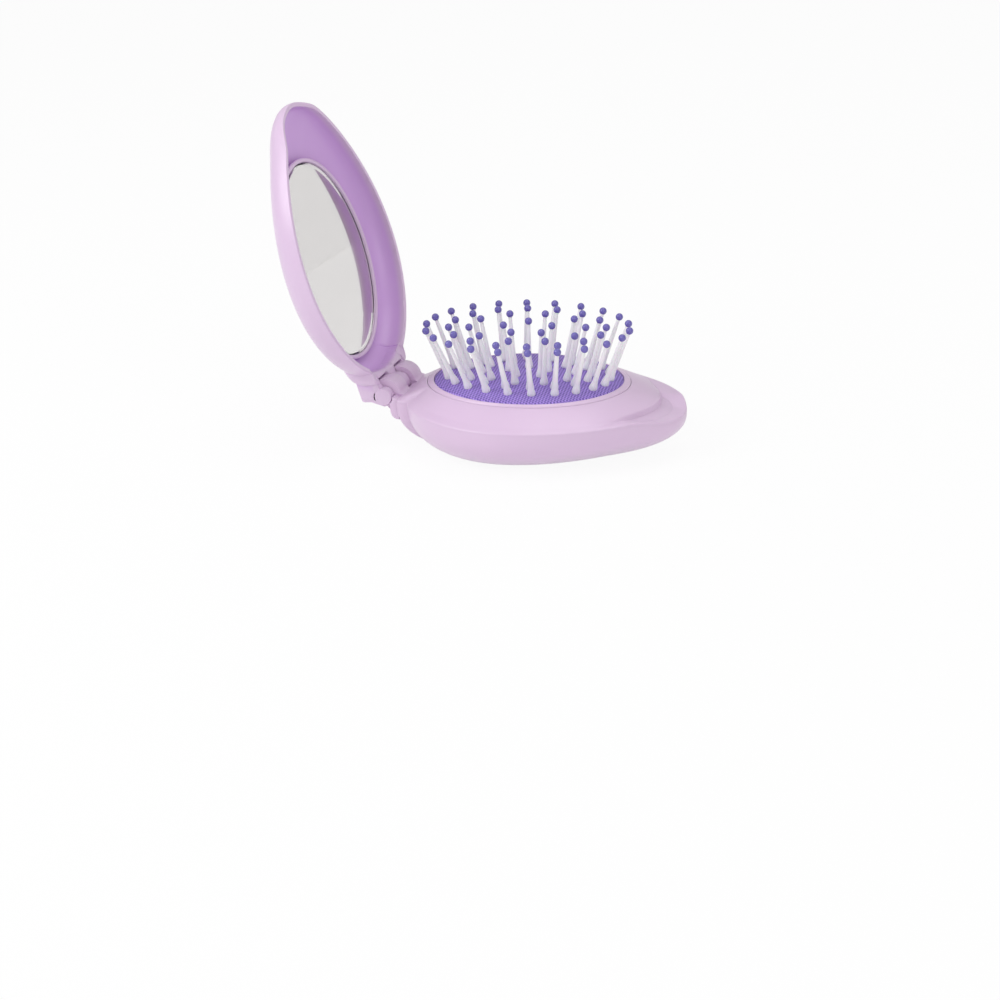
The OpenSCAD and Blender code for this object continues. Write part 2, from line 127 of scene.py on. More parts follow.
def grid_faces(rows, cols, wrap_rows=False):
    """Quads of a grid whose columns close round, and whose rows do too if wrap_rows is set."""
    i = np.arange(rows if wrap_rows else rows - 1)[:, None]
    j = np.arange(cols)[None, :]
    i2, j2 = (i + 1) % rows, (j + 1) % cols
    return np.stack([i * cols + j, i * cols + j2, i2 * cols + j2, i2 * cols + j], -1).reshape(-1, 4)


def cap_faces(start, cols, centre):
    """A fan of triangles from one ring of the grid to a centre point."""
    j = np.arange(cols)
    return np.stack([np.full(cols, centre), start + (j + 1) % cols, start + j], -1)


def signed_volume(points, quads, tris):
    """Sum of the tetrahedra under every face: negative where faces point inwards."""
    def part(a, b, c):
        return np.einsum("ij,ij->", points[a], np.cross(points[b], points[c]))
    total = part(quads[:, 0], quads[:, 1], quads[:, 2]) + part(quads[:, 0], quads[:, 2], quads[:, 3])
    return total + (part(tris[:, 0], tris[:, 1], tris[:, 2]) if len(tris) else 0.0)


def put(name, data):
    """A new object in the scene that holds data."""
    obj = bpy.data.objects.new(name, data)
    bpy.context.scene.collection.objects.link(obj)
    return obj


def piece(name, sections, body, material, closed_rows=False, sharp=38.0, replaces=(),
          uv=None, inside=None):
    """One or more closed skins in one object. Each section is an array (rows, columns, 3) in metres. The
    list inside gives every section a value for each of its points, which its material may read: on the lid it
    is the share of painted shade."""
    verts, faces, base = [], [], 0
    for grid in sections:
        rows, cols = grid.shape[:2]
        points = grid.reshape(-1, 3)
        quads = grid_faces(rows, cols, closed_rows)
        tris = np.zeros((0, 3), int)
        if not closed_rows:
            points = np.vstack([points, grid[0].mean(0), grid[-1].mean(0)])
            low = cap_faces(0, cols, rows * cols)
            high = cap_faces((rows - 1) * cols, cols, rows * cols + 1)[:, ::-1]
            tris = np.vstack([low, high])
        if signed_volume(points - points.mean(0), quads, tris) < 0:
            quads, tris = quads[:, ::-1], tris[:, ::-1]
        verts.append(points)
        for block in (quads, tris):
            faces += (block + base).tolist()
        base += len(points)
    mesh = bpy.data.meshes.new(name)
    mesh.from_pydata(np.vstack(verts).tolist(), [], faces)
    mesh.validate()
    if uv is not None:
        layer = mesh.uv_layers.new(name="weave")
        loops = np.zeros(len(mesh.loops), int)
        mesh.loops.foreach_get("vertex_index", loops)
        layer.data.foreach_set("uv", uv(np.vstack(verts))[loops].ravel())
    # The attribute inside: how much painted shade the material puts on each point
    if inside is not None:
        ends = np.zeros(0 if closed_rows else 2)
        values = [np.concatenate([v.ravel(), ends + v.min()]) for v in inside]
        mesh.attributes.new("inside", "FLOAT", "POINT").data.foreach_set("value", np.concatenate(values))
    mesh.polygons.foreach_set("use_smooth", [True] * len(mesh.polygons))
    mesh.set_sharp_from_angle(angle=math.radians(sharp))
    obj = put(name, mesh)
    mesh.materials.append(material)
    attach(obj, body)
    if replaces:
        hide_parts(*replaces)
    return obj


def smoothstep(v):
    """0 below 0, 1 above 1, and the cubic 3v^2 - 2v^3 between."""
    v = np.clip(v, 0, 1)
    return v * v * (3 - 2 * v)


def mix(a, b, u):
    """Straight blend from a to b."""
    return a * (1 - u) + b * u


# ---- plan of the case ---------------------------------------------------------------------------
def egg(t, inset):
    """An ellipse whose width is skewed towards the hinge, at angle t from the hinge end, drawn in by
    inset."""
    half = CASE_W / 2 / (1 - FILL) - inset
    x = mix(EGG_X0 + inset, CASE_LEN - inset, (1 - np.cos(t)) / 2)
    return x, half * np.sin(t) * (1 + SKEW * np.cos(t) + FILL * np.cos(2 * t))


def outline(inset, neck_count=22, egg_count=92):
    """The egg, whose pointed end at the hinge is squared off: a quarter of a sixth-power oval on each
    side."""
    t0 = math.radians(NECK_T)
    q = math.pi / 2 * np.sin(np.linspace(0, math.pi / 2, neck_count, endpoint=False)) ** 3
    ex, ey = egg(t0, inset)
    nx = ex - (ex - END_X - inset) * np.cos(q) ** (2 / NECK_POWER)
    ny = ey * np.sin(q) ** (2 / NECK_POWER)
    x, y = egg(np.linspace(t0, math.pi, egg_count), inset)
    x, y = np.concatenate([nx, x]), np.concatenate([ny, y])
    return np.concatenate([x, x[-2:0:-1]]), np.concatenate([y, -y[-2:0:-1]])


RIM_X, RIM_Y = outline(0.0)
# Height that both rims lose at the finger notch, which lies on the near side of the tip
RIM_NOTCH = (NOTCH_DEPTH * smoothstep((RIM_X - NOTCH_FROM) / (NOTCH_TO - NOTCH_FROM))
             * smoothstep((NOTCH_FAR_Y - RIM_Y) / NOTCH_FADE))
RIM = -RIM_GAP / 2 - RIM_NOTCH


def plateau(x):
    """The deck's raised part stands back from the tip by the finger ledge."""
    return x - LEDGE_W * smoothstep((x - LEDGE_FROM) / (CASE_LEN - LEDGE_FROM))


def ring(x, y, z):
    """One closed ring of points."""
    return np.stack([x, y, np.broadcast_to(z, x.shape)], -1)


def oval(a, b, x0):
    """An ellipse with as many points as the outline, sent out at the outline's own bearings."""
    bearing = np.unwrap(np.arctan2(RIM_Y / CASE_W, (x0 - RIM_X) / CASE_LEN))
    return x0 - a * np.cos(bearing), b * np.sin(bearing)


def pad_ring(out, z):
    """A ring of points round the cushion's oval, moved out by out."""
    return ring(*oval(PAD_A + out, PAD_B + out, PAD_X), z)


def mirror_ring(out, z):
    """A ring of points round the mirror's oval, moved out by out."""
    return ring(*oval(MIRROR_A + out, MIRROR_B + out, MIRROR_X), z)


def bowl_ring(plan, belly, rim, depth, power, last, angle):
    """One ring of a shell: the plan shrunk towards the belly as a superellipse of the given power deepens
    from the height of the rim."""
    x, y = plan
    k = math.cos(angle) ** (2 / power)
    s = (math.sin(angle) / math.sin(math.radians(last))) ** (2 / power)
    return ring(belly + (x - belly) * k, y * k, mix(rim, -depth, s))


def bowl(hollow, belly, rim, depth, power, last, edge=0.25, land=0.0, opened=None):
    """A whole shell: outer skin from the flat back to the rim, a rounded rim, and the inner skin back down.
    The angle steps crowd towards the rim, where the section turns fastest. The inner skin starts from the
    hollow's own plan, lower by land. Where opened is given, nothing stands higher than it."""
    steps = math.radians(last) * np.linspace(1, 0, 40) ** 1.6
    flat_shares = [0.3, 0.7, 0.93, 0.98]
    plan = RIM_X, RIM_Y
    outer = [bowl_ring(plan, belly, rim, depth, power, last, a) for a in steps]
    inner = [bowl_ring(hollow, belly, rim - land, depth - WALL, power, last, a) for a in steps[::-1]]

    def flat(edge_ring, share):
        r = edge_ring.copy()
        r[:, 0] = belly + (r[:, 0] - belly) * share
        r[:, 1] *= share
        return r
    outer = [flat(outer[0], s) for s in flat_shares] + outer
    inner = inner + [flat(inner[-1], s) for s in flat_shares[::-1]]
    lip = []
    for turn in np.radians([20, 40, 60, 90, 120, 140, 160]):
        u = (1 - math.cos(turn)) / 2
        lip.append(ring(mix(plan[0], hollow[0], u), mix(plan[1], hollow[1], u),
                        rim - land * smoothstep(1.6 * u - 0.5) + edge * (math.sin(turn) - 1)))
    for r in (outer[-1], inner[0]):
        r[:, 2] -= edge
    grid = np.array(outer + lip + inner)
    if opened is not None:
        grid[..., 2] = np.minimum(grid[..., 2], opened)
    return grid


def bar(profile, y0, y1, soften=0.25):
    """A profile in X and Z carried along the hinge axis, with its two ends drawn in a little to soften them.
    The profile may be a function of the place along the axis."""
    out = []
    for y, draw in ((y0, soften), (y0 + soften * 0.3, soften * 0.3), (y0 + soften, 0.0), ((y0 + y1) / 2, 0.0),
                    (y1 - soften, 0.0), (y1 - soften * 0.3, soften * 0.3), (y1, soften)):
        p = np.asarray(profile(y) if callable(profile) else profile, float)
        middle = p.mean(0)
        reach = np.linalg.norm(p - middle, axis=1, keepdims=True)
        q = middle + (p - middle) * (1 - draw / np.maximum(reach, 1e-6))
        out.append(np.stack([q[:, 0], np.full(len(q), y), q[:, 1]], -1))
    return np.array(out)


def both_sides(profile, y0, y1, soften=0.25):
    """The same bar on both sides of the middle plane."""
    return [bar(profile, y0, y1, soften), bar(profile, -y1, -y0, soften)]


def arc(r, a0, a1, n):
    """Points on a circle round the pin from angle a0 to a1, in degrees from +X towards +Z. The radius may
    differ from point to point."""
    a = np.radians(np.linspace(a0, a1, n))
    return np.stack([r * np.cos(a), r * np.sin(a)], -1)


# ---- materials ----------------------------------------------------------------------------------
def linear(r, g, b):
    """An sRGB colour of 0 to 255 as the linear colour that the shader takes."""
    c = np.array([r, g, b]) / 255
    return (*np.where(c <= 0.04045, c / 12.92, ((c + 0.055) / 1.055) ** 2.4), 1.0)


def feed(tree, node, values=None, links=None):
    """Sets the values of a node's inputs, and links outputs of other nodes to its inputs."""
    for key, value in (values or {}).items():
        node.inputs[key].default_value = value
    for key, source in (links or {}).items():
        tree.links.new(source, node.inputs[key])
    return node


def add(tree, kind, values=None, links=None, **properties):
    """A new shader node with its properties set and its inputs fed."""
    node = tree.nodes.new("ShaderNode" + kind)
    for key, value in properties.items():
        setattr(node, key, value)
    return feed(tree, node, values, links)


def new_material(name):
    """An empty node material with its Principled shader."""
    m = bpy.data.materials.new(name)
    m.use_nodes = True
    return m, m.node_tree, m.node_tree.nodes["Principled BSDF"]


def noise_range(tree, place, scale, low, high):
    """Fine noise at a place, spread between a low and a high value."""
    noise = add(tree, "TexNoise", {"Scale": scale}, {"Vector": place})
    spread = add(tree, "MapRange", {"To Min": low, "To Max": high}, {"Value": noise.outputs["Fac"]})
    return spread.outputs["Result"]


def two_colours(tree, a, b, share):
    """The colour a, and b where the share is 1. Either may be a plain colour or another node's output."""
    values = {k: v for k, v in (("A", a), ("B", b)) if isinstance(v, tuple)}
    links = {k: v for k, v in (("A", a), ("B", b)) if not isinstance(v, tuple)}
    return add(tree, "Mix", values, {**links, "Factor": share}, data_type="RGBA").outputs["Result"]


def moulded_plastic(name, colour, deep, roughness=0.36, coat=0.25, grain=9000.0, bump=0.03, scatter=0.06,
                    hollow=None):
    """Moulded plastic: a faint cloudiness of the colour, fine grain in gloss and in height, and a little
    light that passes under the surface. The colour turns to hollow, a painted shade for the inside of the
    lid, where the attribute inside is 1."""
    m, tree, shader = new_material(name)
    place = add(tree, "TexCoord").outputs["Object"]
    cloud = add(tree, "TexNoise", {"Scale": 38.0, "Detail": 3.0}, {"Vector": place}).outputs["Fac"]
    fade = add(tree, "MapRange", {"From Min": 0.35, "From Max": 0.75, "To Max": 0.5}, {"Value": cloud})
    tint = two_colours(tree, linear(*colour), linear(*deep), fade.outputs["Result"])
    # Painted shade: the colour is blended towards the darker, more saturated hollow colour by the attribute
    # inside
    if hollow:
        where = add(tree, "Attribute", attribute_name="inside")
        tint = two_colours(tree, tint, linear(*hollow), where.outputs["Fac"])
    fine = add(tree, "TexNoise", {"Scale": grain, "Detail": 2.0}, {"Vector": place}).outputs["Fac"]
    gloss = add(tree, "MapRange", {"To Min": roughness - 0.04, "To Max": roughness + 0.05}, {"Value": fine})
    height = add(tree, "Bump", {"Strength": bump, "Distance": 0.00005}, {"Height": fine})
    feed(tree, shader,
         {"Coat Weight": coat, "Coat Roughness": 0.3, "Subsurface Weight": scatter, "Subsurface Scale": 0.002,
          "Subsurface Radius": (1.0, 0.7, 0.9)},
         {"Base Color": tint, "Roughness": gloss.outputs["Result"], "Normal": height.outputs["Normal"]})
    return m


def woven_skin(name, colour, deep, light, warp_step=1.0, weft_step=2.0):
    """The pad's skin: the product of two sine waves that cross on the piece's own UV, in millimetres. Each
    knot lifts and lightens, and the threads between lie deep. Clouds of the plain colour soften it."""
    m, tree, shader = new_material(name)
    uv = add(tree, "UVMap", uv_map="weave").outputs["UV"]
    split = add(tree, "SeparateXYZ", links={"Vector": uv})

    def wave(output, step):
        angle = add(tree, "Math", {1: 2 * math.pi / step}, {0: output}, operation="MULTIPLY")
        return add(tree, "Math", links={0: angle.outputs[0]}, operation="SINE").outputs[0]
    knots = add(tree, "Math", operation="MULTIPLY", links={
        0: wave(split.outputs["X"], warp_step), 1: wave(split.outputs["Y"], weft_step)}).outputs[0]
    spread = add(tree, "MapRange", {"From Min": -1.0}, {"Value": knots})
    tint = two_colours(tree, linear(*deep), linear(*light), spread.outputs["Result"])
    soft = two_colours(tree, tint, linear(*colour), noise_range(tree, uv, 0.25, 0.0, 0.3))
    height = add(tree, "Bump", {"Strength": 0.5, "Distance": 0.0002}, {"Height": knots})
    feed(tree, shader, {"Roughness": 0.62, "Sheen Weight": 0.08},
         {"Base Color": soft, "Normal": height.outputs["Normal"]})
    return m


def polished(name, grain, low, high, values):
    """Metal or glass of the given shader values, whose roughness varies between low and high."""
    m, tree, shader = new_material(name)
    place = add(tree, "TexCoord").outputs["Object"]
    feed(tree, shader, values, {"Roughness": noise_range(tree, place, grain, low, high)})
    return m


lilac = moulded_plastic("satin_lilac", (226, 200, 228), (221, 194, 224))
# The lid's lilac. Its hollow colour (216, 174, 232) is painted shade for the inside of the lid
lid_lilac_painted_shade = moulded_plastic("satin_lilac_lid_painted_shade", (225, 200, 228), (220, 193, 224), hollow=(216, 174, 232))
violet_skin = woven_skin("woven_violet", (134, 102, 204), (70, 46, 146), (196, 164, 250))
milky = moulded_plastic("milky_nylon", (248, 245, 247), (243, 238, 242), 0.3, 0.15, 12000.0, 0.02, 0.4)
ball_violet = moulded_plastic("glossy_violet", (108, 98, 180), (98, 88, 172), 0.18, 0.6, 9000.0, 0.01, 0.05)
carrier_violet = moulded_plastic("carrier_violet", (141, 108, 192), (132, 98, 184))
foam_white = moulded_plastic("foam_white", (238, 236, 234), (228, 226, 222), 0.9, 0.0, 3000.0, 0.5, 0.1)
steel = polished("pin_steel", 4000.0, 0.22, 0.42, {"Base Color": linear(170, 170, 173), "Metallic": 1.0})
spring_wire = polished("spring_wire", 4000.0, 0.26, 0.46,
                       {"Base Color": linear(150, 150, 153), "Metallic": 1.0})
silver = polished("mirror_silver", 50.0, 0.01, 0.03, {"Base Color": linear(232, 229, 230), "Metallic": 1.0})
glass = polished("mirror_glass", 60.0, 0.0, 0.03,
                 {"Base Color": linear(250, 250, 249), "Transmission Weight": 1.0, "IOR": 1.5})


def dress(node, material):
    """Gives a CAD node its material."""
    slots = nodes[node].data.materials
    slots.clear()
    slots.append(material)


# ---- case ---------------------------------------------------------------------------------------
def deck_section():
    """A ring-shaped skin: down the inside of the sleeve, up its outside, along the deck's underside,
    round the side wall and the rim, and up the dome to the opening. Along the sides the rim runs into the
    dome in a cubic curve, and at the tip there is a shelf with a step between them."""
    ox, oy = oval(RING_A + SLIDE_GAP, RING_B + SLIDE_GAP, PAD_X)
    sx, sy = oval(RING_A + SLIDE_GAP + SLEEVE_T, RING_B + SLIDE_GAP + SLEEVE_T, PAD_X)
    foot = RIM_GAP / 2 - SEAM

    def on_rim(inset, z):
        x, y = outline(inset)
        return ring(x, y, z + RIM)

    def dome(inset, drop, u):
        x, y = outline(EDGE_IN + inset)
        z = mix(EDGE_Z, DECK_TOP, 1 - (1 - u) ** 1.1) - drop
        return ring(mix(plateau(x), ox, u), mix(y, oy, u), z)

    def shelf():
        """A rounded rim of half a millimetre, a level ledge, and an S-shaped step up to the dome."""
        rows = [on_rim(0, -0.78)]
        rows += [on_rim(0.5 * (1 - math.cos(turn)), -0.62 + 0.5 * math.sin(turn))
                 for turn in np.radians(np.arange(10, 90, 10))]
        rows.append(on_rim(0.55, -0.1))
        for inset, z in ((1.0, -0.02), (1.45, 0.04)):
            x, y = outline(inset)
            rows.append(ring(mix(x, plateau(x), (inset - 0.55) / 0.9), y, z + RIM))
        for inset, lift in ((1.6, 0.0), (1.78, 0.08), (2.0, 0.28), (2.25, 0.58), (2.45, 0.84)):
            x, y = outline(inset)
            rows.append(ring(plateau(x), y, mix(RIM, EDGE_Z, lift)))
        return rows

    def soft_rim(u):
        """The cubic curve from 1 mm under the rim to the foot of the dome."""
        x, y = outline(3 * u * u * (1 - u) * 0.8 + u ** 3 * EDGE_IN)
        z = (1 - u) ** 3 * -1.0 + 3 * u * (1 - u) ** 2 * -0.4 + 3 * u * u * (1 - u) * -0.38
        return ring(x, y, z + mix(RIM, 0, u) + u ** 3 * EDGE_Z)
    at_tip = smoothstep((RIM_X - LEDGE_FROM - 2) / LEDGE_BLEND)[:, None]
    shelf_rows = shelf()
    shares = np.linspace(0, 1, len(shelf_rows) + 1)
    rows = [ring(sx, sy, SLEEVE_LOW), ring(sx, sy, DECK_TOP - DECK_T - 0.4)]
    rows += [dome(WALL, DECK_T, u) for u in (0.7, 0.4, 0.1)]
    rows += [on_rim(WALL, foot), on_rim(0, foot)]
    rows += [mix(soft_rim(u), row, at_tip) for u, row in zip(shares, shelf_rows)]
    rows += [dome(0, 0, u) for u in np.linspace(0.0, 0.98, 18)]
    rows += [ring(ox, oy, DECK_TOP - 0.08), ring(ox, oy, SLEEVE_LOW)]
    return np.array(rows)


def finger_profile():
    """A finger of the case: a circle round the pin that swells over the deck and under the lid's neck, and
    whose lower side runs into the end wall."""
    a = np.linspace(14, 238, 64)
    swell = KNUCKLE_R + (LOBE_R - KNUCKLE_R) * smoothstep((185 - a) / 60)
    low = [[-0.2, -3.6], [1.4, -5.2], [END_X + 0.2, -6.7], [END_X + 1.4, -6.9], [END_X + 1.5, -SEAM - 0.3],
           [END_X + 1.6, -0.3], [END_X + 2.4, 0.1], [END_X + 1.6, 0.42]]
    return np.vstack([arc(swell, 14, 238, 64), low])


def corner_profile():
    """The case's square corner beside a finger, hollowed round the lid's ear."""
    wall = [[2.3, -3.4], [2.25, -4.5], [2.6, -5.6], [3.1, -6.3], [END_X + 0.4, -6.8], [END_X + 1.4, -6.9],
            [END_X + 1.5, -SEAM - 0.4], [END_X + 1.2, -0.5], [3.9, -0.18], [3.4, -0.1]]
    return np.vstack([arc(DISC_R + CORNER_GAP, 2, -46, 14), wall])


base_bowl = bowl(outline(WALL), BASE_BELLY, -SEAM - RIM_NOTCH, BASE_DEPTH, BASE_POWER, BASE_LAST, edge=0.02)
fingers = (both_sides(finger_profile(), FINGER_IN, FINGER_OUT)
           + both_sides(corner_profile(), FINGER_OUT - 0.3, EAR_OUT - 0.1, 0.2))
piece("case_bowl", [case_place(base_bowl)], "case", lilac, replaces=("base_shell",))
piece("case_deck", [case_place(deck_section())], "case", lilac, closed_rows=True, sharp=50,
      replaces=("deck",))
piece("case_fingers", [case_place(g) for g in fingers], "case", lilac)


# ---- pad ----------------------------------------------------------------------------------------
def pad_ring_section():
    """The wedge-shaped ring round the cushion: foot, outer edge, sloping top and seat."""
    top = PAD_LIFT - RING_FALL
    rows = [pad_ring(-SEAT_IN, PLATE_LOW + 1.2), pad_ring(-SEAT_IN, PLATE_LOW), pad_ring(-FOOT_IN, PLATE_LOW),
            ring(*oval(RING_A, RING_B, PAD_X), top - RING_EDGE),
            ring(*oval(RING_A, RING_B, PAD_X), top - RING_STEP),
            ring(*oval(RING_A - RING_STEP, RING_B - RING_STEP, PAD_X), top)]
    for u in (0.25, 0.5, 0.75, 0.92):
        rows.append(ring(*oval(mix(RING_A, PAD_A + 0.57, u), mix(RING_B, PAD_B + 0.57, u), PAD_X),
                         PAD_LIFT - 0.1 - (RING_FALL - 0.1) * (1 - u)))
    rows += [pad_ring(out, PAD_LIFT + z)
             for out, z in ((0.45, -0.1), (0.26, -0.12), (0.14, -0.2), (0.12, -PAD_EDGE))]
    return np.array(rows)


def pad_z(x, y):
    """Height of the domed skin: the crown falls away with the square of the oval's own radius."""
    return PAD_LIFT + PAD_CROWN * (1 - np.clip((x / PAD_A) ** 2 + (y / PAD_B) ** 2, 0, 1))


def cushion_section():
    """Flat underside, rounded edge and domed top, as shrinking ovals."""
    def shrunk(k, z):
        return ring(*oval(PAD_A * k, PAD_B * k, PAD_X), z)
    rows = [shrunk(k, PAD_LIFT - PAD_EDGE) for k in (0.1, 0.5, 0.9, 0.985)]
    for turn in np.radians([-70, -45, -20, 0, 20, 45]):
        rise = (0.35 if turn > 0 else 0.55) * math.sin(turn)
        rows.append(pad_ring(-0.45 * (1 - math.cos(turn)), PAD_LIFT - 0.55 + rise))
    rows += [shrunk(k, PAD_LIFT + PAD_CROWN * (1 - k * k)) for k in np.linspace(0.985, 0.05, 28)]
    return np.array(rows)


def weave_uv(points):
    """Millimetres on the pad's plan, turned by 33 degrees so that the threads cross on the slant."""
    x, y = points[:, 0] / MM, points[:, 1] / MM
    c, s = math.cos(math.radians(33)), math.sin(math.radians(33))
    return np.stack([x * c + y * s, y * c - x * s], -1)


def bristle_ends(count, turn, share):
    """Feet on the pad and balls in the air for one ring of bristles: two ovals at the same bearings."""
    a = np.radians(turn + 360 * np.arange(count) / count)
    fx, fy = share * FOOT_RING[0] * np.cos(a), share * FOOT_RING[1] * np.sin(a)
    bx, by = share * TIP_RING[0] * np.cos(a), share * TIP_RING[1] * np.sin(a)
    return (np.stack([PAD_X + fx, fy, pad_z(fx, fy)], -1),
            np.stack([PAD_X + bx, by, np.full(count, TIP_HEIGHT)], -1))


def turned(foot, ball, profile, sides=20):
    """A profile of (height, radius) turned about the line from foot to ball, heights measured from the
    foot. The profile is given as a function of that line's length."""
    axis = ball - foot
    length = np.linalg.norm(axis)
    axis = axis / length
    side = np.cross(axis, [0.0, 1.0, 0.0])
    side /= np.linalg.norm(side)
    other = np.cross(axis, side)
    a = np.linspace(0, 2 * math.pi, sides, endpoint=False)
    round_ = np.cos(a)[:, None] * side + np.sin(a)[:, None] * other
    return case_place([foot + axis * h + round_ * r for h, r in profile(length)])


def bristle_profile(length, sunk=0.25):
    """Flared collar on the pad, sunk into it a little, then a shank that thins to the ball."""
    collar = [(0.0, 0.9), (0.32, 1.22), (0.55, 1.3), (0.8, 1.29), (1.5, 1.2), (2.2, 1.04), (2.7, 0.93),
              (3.2, 0.84)]
    shank = [(mix(3.4, length - BALL_R * 0.75, u), mix(0.8, 0.55, u)) for u in np.linspace(0, 1, 5)]
    return [(h - sunk, r) for h, r in collar] + shank


def ball_profile(length):
    """A sphere at the bristle's end, as (height, radius)."""
    a = np.radians(np.linspace(6, 174, 15))
    return [(length - BALL_R * math.cos(v), BALL_R * math.sin(v)) for v in a]


piece("pad_trim", [case_place(pad_ring_section())], "pad", lilac, closed_rows=True, sharp=50,
      replaces=("pad_ring",))
skin = piece("pad_skin", [case_place(cushion_section())], "pad", violet_skin, sharp=60,
             replaces=("cushion",), uv=weave_uv)
for row_name, (count, first, share) in BRISTLE_RINGS.items():
    ends = list(zip(*bristle_ends(count, first, share)))
    piece("pins_" + row_name, [turned(f, b, bristle_profile) for f, b in ends],
          "pad", milky, sharp=70, replaces=("bristles_" + row_name,))
    piece("balls_" + row_name, [turned(f, b, ball_profile) for f, b in ends],
          "pad", ball_violet, sharp=80, replaces=("tips_" + row_name,))


# ---- lid ----------------------------------------------------------------------------------------
def land_edge(y):
    """Where the lid's hollow begins at the hinge end: a shallow arc across the brush."""
    return ARC_X + ARC_CURVE * y * y


def land_z(x, y):
    """The land is level at the end wall, whose place is read off the outline, and then rises with the dome
    of the deck that it covers."""
    near = (RIM_X < 16) & (RIM_Y > -0.01)
    end_wall = np.interp(np.abs(y), RIM_Y[near], RIM_X[near])
    return LAND_Z + (LAND_SLOPE - LAND_EASE * np.abs(y)) * np.maximum(0, x - end_wall - LAND_FLAT)


def lid_bowl():
    """The lid's shell, drawn closed: a bowl turned upside down. At the hinge its wall thickens up to the
    land's arc, and between the ears it is open below the neck."""
    x, y = outline(WALL)
    x = np.where(x < 20, np.maximum(x, land_edge(y)), x)
    land = np.where(x < 20, land_z(x, y) - LAND_Z, 0)
    opened = np.where(x < 12, -NECK_OPEN * smoothstep((EAR_IN + 0.6 - np.abs(y)) / 0.3), 0)
    shell = bowl((x, y), LID_BELLY, RIM, LID_DEPTH, LID_POWER, LID_LAST, land=land, opened=opened)
    return shell * np.array([1, 1, -1])


def neck_back(y):
    """From the land up the hollow's end wall, along the neck's top and down its outer face."""
    wall = np.array([[-1.0, 0.39], [-0.55, 0.42], [-0.28, 0.53], [-0.1, 0.74], [0.0, 1.05], [0.03, 2.0],
                     [0.1, 3.0], [0.22, 4.05], [0.3, 4.8], [0.4, 6.2], [0.0, 7.0]]) + [land_edge(y), 0]
    wall[:7, 1] += (land_z(wall[:7, 0], y) - LAND_Z) * np.array([1, 1, 1, 1, 1.0, 0.7, 0.3])
    top = [[4.0, NECK_H + 0.02], [0.5, NECK_H], [0.05, NECK_H - 0.12], [-0.2, NECK_H - 0.5], [-0.52, 5.3]]
    return np.vstack([wall, top])


NECK_FRONT = [[-0.8, 4.2], [-1.8, 2.6]]    # the neck's outer face, down to the knuckles


def ear_neck(radius):
    """An ear of the lid: the circle round the pin, the land beside it, and the neck over both."""
    def profile(y):
        return np.vstack([arc(radius, 175, 360, 40), [[max(radius, KNUCKLE_R) + 0.25, 0.3]], neck_back(y),
                          NECK_FRONT])
    return profile


def cheek(y):
    """The outer side of the neck. It follows the ear's disc, and stands off it in an arc over the pin."""
    a = np.linspace(190, 8, 44)
    r = DISC_R - 0.1 + CHEEK_GAP * smoothstep((a - 38) / 22) * smoothstep((112 - a) / 18)
    return np.vstack([arc(r, 190, 8, 44), [[KNUCKLE_R + 0.4, 0.3]], neck_back(y), NECK_FRONT,
                      [[-3.1, 0.4], [-2.9, -0.5]]])


def pocket_neck(y):
    """The neck over a finger of the case: its underside is hollowed round the finger."""
    return np.vstack([arc(POCKET_R, 97, 12, 30), [[5.5, 0.75], [5.55, 0.45]], neck_back(y)[1:]])


def heel_profile():
    """The stop under the middle knuckle, drawn with the lid open and turned back into the closed lid."""
    x, z = np.array([[END_X - 0.05, -1.5], [END_X - 0.05, -2.9], [END_X - 0.2, -3.05], [1.7, -3.5],
                     [0, -2.2], [1.6, 0]]).T
    return np.stack(swung(x, z, -1), -1)


def lid_neck():
    """Ears with their discs, middle knuckle with its stop, and the bridges between them, side by side along
    the hinge axis."""
    return (both_sides(ear_neck(DISC_R), EAR_IN, EAR_OUT - 0.75, 0.1)
            + both_sides(cheek, EAR_OUT - 0.9, CHEEK_OUT, 0.12)
            + both_sides(arc(DISC_R, 0, 350, 36), EAR_OUT - DISC_T, EAR_OUT, 0.3)
            + [bar(ear_neck(MID_R), -MID_HALF, MID_HALF),
               bar(heel_profile(), 0.3 - MID_HALF, MID_HALF - 0.3, 0.1)]
            + both_sides(pocket_neck, MID_HALF - 0.3, EAR_IN + 0.3, 0.01))


def painted_shade_depth(z):
    """How far the plastic turns to the painted shade of the hollow, by height over the closed parting plane.
    """
    return smoothstep((z - 0.4) / 2.5)


def frame_section():
    """The ring round the glass: chamfered back, rounded lip and straight bore."""
    back = MIRROR_BACK + 0.1
    out = GLASS_GAP + LIP_W
    rows = [mirror_ring(GLASS_GAP, back), mirror_ring(out - 1, back), mirror_ring(out, back - 1)]
    for turn in np.radians(np.arange(0, 181, 18)):
        rows.append(mirror_ring((out + GLASS_GAP) / 2 + (out - GLASS_GAP) / 2 * math.cos(turn),
                                MIRROR_FACE - LIP_H * math.sin(turn)))
    return np.array(rows)


def pane_section():
    """The glass: flat back, straight edge, a narrow polished bevel and a flat face."""
    rows = [(POLE_IN, MIRROR_BACK), (-0.2, MIRROR_BACK), (-0.04, MIRROR_BACK), (0.0, MIRROR_BACK - 0.04),
            (0.0, MIRROR_FACE + 0.3), (-0.04, MIRROR_FACE + 0.25), (-0.75, MIRROR_FACE + 0.02),
            (-0.85, MIRROR_FACE), (POLE_IN, MIRROR_FACE)]
    return np.array([mirror_ring(out, z) for out, z in rows])


def silver_section():
    """The silver behind the glass, a thin flat sheet."""
    near, far = MIRROR_BACK + 0.01, MIRROR_BACK + COATING_T
    rows = [(POLE_IN, far), (-0.1, far), (-0.1, near), (POLE_IN, near)]
    return np.array([mirror_ring(out, z) for out, z in rows])


shell = lid_bowl()
